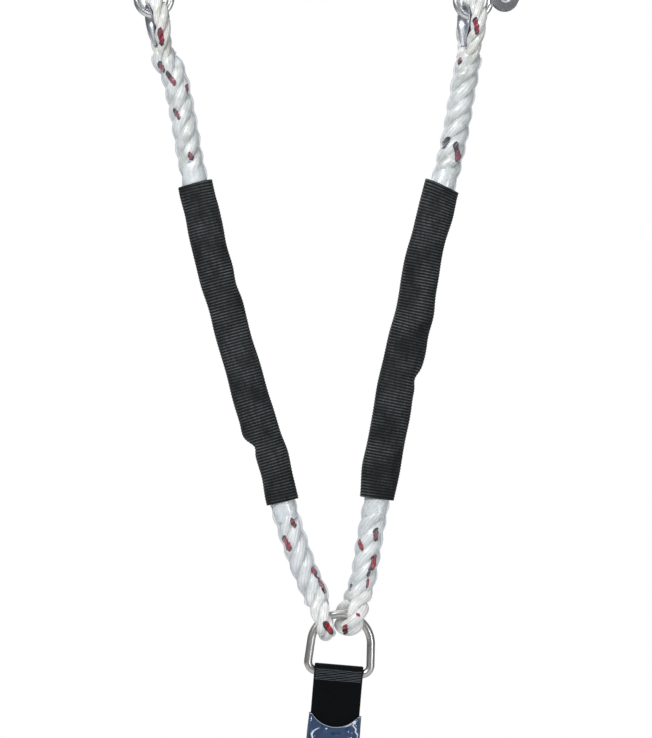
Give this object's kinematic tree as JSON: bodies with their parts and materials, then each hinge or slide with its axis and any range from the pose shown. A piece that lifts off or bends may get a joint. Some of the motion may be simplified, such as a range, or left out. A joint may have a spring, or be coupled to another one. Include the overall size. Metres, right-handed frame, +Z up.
{
  "type": "shock absorbing lanyard",
  "caption": "Twin-leg rope fall-arrest lanyard: scaffold hooks, spliced rope legs in black sleeves, a D-ring, a film-wrapped energy absorber and a screw-gate carabiner.",
  "frame": {"origin": "midway between the two rail seats, the points inside the hooks' bows that rest on the rail", "axes": "+Z up as it hangs, +X from the left hook to the right hook, -Y towards the viewer"},
  "size_m": [0.4308, 0.0524, 1.1723],
  "materials": {
    "forged_steel": "polished zinc plate",
    "galvanised_steel": "dull zinc",
    "satin_steel": "satin",
    "white_rope": "three-strand polyamide rope",
    "clear_film": "clear heat-shrunk film",
    "black_webbing": "woven",
    "navy_webbing": "woven",
    "white_label": "blank printed-label stock with no print",
    "black_rubber": "matt"
  },
  "bodies": {
    "hooks": {"left_hook_body": "forged_steel", "left_gate_rivet": "forged_steel", "left_gate_spring": "forged_steel", "left_lever_rivet": "forged_steel", "left_lever_spring": "forged_steel", "right_hook_body": "forged_steel", "right_gate_rivet": "forged_steel", "right_gate_spring": "forged_steel", "right_lever_rivet": "forged_steel", "right_lever_spring": "forged_steel"},
    "left_gate": {"left_hook_gate": "forged_steel"},
    "left_lever": {"left_lock_lever": "forged_steel"},
    "right_gate": {"right_hook_gate": "forged_steel"},
    "right_lever": {"right_lock_lever": "forged_steel"},
    "rope_legs": {"left_thimble": "galvanised_steel", "left_upper_rope_eye": "white_rope", "left_rope_leg": "white_rope", "left_lower_rope_eye": "white_rope", "left_upper_clear_sleeve": "clear_film", "left_lower_clear_sleeve": "clear_film", "left_cover_sleeve": "black_webbing", "right_thimble": "galvanised_steel", "right_upper_rope_eye": "white_rope", "right_rope_leg": "white_rope", "right_lower_rope_eye": "white_rope", "right_upper_clear_sleeve": "clear_film", "right_lower_clear_sleeve": "clear_film", "right_cover_sleeve": "black_webbing"},
    "ring": {"d_ring": "satin_steel"},
    "absorber": {"upper_strap_loop": "black_webbing", "folded_webbing_front": "navy_webbing", "folded_webbing_back": "navy_webbing", "film_cover": "clear_film", "blank_label": "white_label", "lower_strap_loop": "black_webbing", "loop_keeper": "black_rubber"},
    "carabiner": {"carabiner_body": "forged_steel", "carabiner_gate_pin": "forged_steel"},
    "gate_bar": {"carabiner_gate": "forged_steel"},
    "screw_sleeve": {"carabiner_screw_sleeve": "satin_steel"}
  },
  "joints": [
    {"name": "left_gate_hinge", "type": "hinge", "parent": "hooks", "child": "left_gate", "pos_m": [-0.11582, 0, -0.14428], "axis": [0, -1, 0], "range_deg": [0, 25], "stiffness_Nm_per_rad": 0.2, "springref_deg": -28.65},
    {"name": "left_lever_hinge", "type": "hinge", "parent": "hooks", "child": "left_lever", "pos_m": [-0.1685, 0, -0.13076], "axis": [0, 1, 0], "range_deg": [0, 8], "stiffness_Nm_per_rad": 0.15, "springref_deg": -22.92},
    {"name": "right_gate_hinge", "type": "hinge", "parent": "hooks", "child": "right_gate", "pos_m": [0.18104, 0, -0.15666], "axis": [0, -1, 0], "range_deg": [0, 25], "stiffness_Nm_per_rad": 0.2, "springref_deg": -28.65},
    {"name": "right_lever_hinge", "type": "hinge", "parent": "hooks", "child": "right_lever", "pos_m": [0.13699, 0, -0.12478], "axis": [0, 1, 0], "range_deg": [0, 8], "stiffness_Nm_per_rad": 0.15, "springref_deg": -22.92},
    {"name": "legs_swing", "type": "hinge", "parent": "hooks", "child": "rope_legs", "pos_m": [-0.13949, 0, -0.17296], "axis": [1, 0, -0.0069], "range_deg": [-18, 18]},
    {"name": "ring_swing", "type": "hinge", "parent": "rope_legs", "child": "ring", "pos_m": [0.01359, 0, -0.72981], "axis": [0.9884, 0, 0.1521], "range_deg": [-35, 35]},
    {"name": "absorber_swing", "type": "hinge", "parent": "ring", "child": "absorber", "pos_m": [0.0278, 0, -0.7783], "axis": [0.9965, 0, -0.0837], "range_deg": [-100, 100]},
    {"name": "carabiner_swing", "type": "hinge", "parent": "absorber", "child": "carabiner", "pos_m": [0.00459, 0, -1.05473], "axis": [0.9965, 0, -0.0837], "range_deg": [-60, 60]},
    {"name": "carabiner_gate_hinge", "type": "hinge", "parent": "carabiner", "child": "gate_bar", "pos_m": [0.02389, 0, -1.12358], "axis": [0, -1, 0], "range_deg": [0, 26], "stiffness_Nm_per_rad": 0.08, "springref_deg": -28.65},
    {"name": "screw_sleeve_slide", "type": "slide", "parent": "gate_bar", "child": "screw_sleeve", "axis": [0.0837, 0, 0.9965], "range_m": [0, 0.011]}
  ]
}
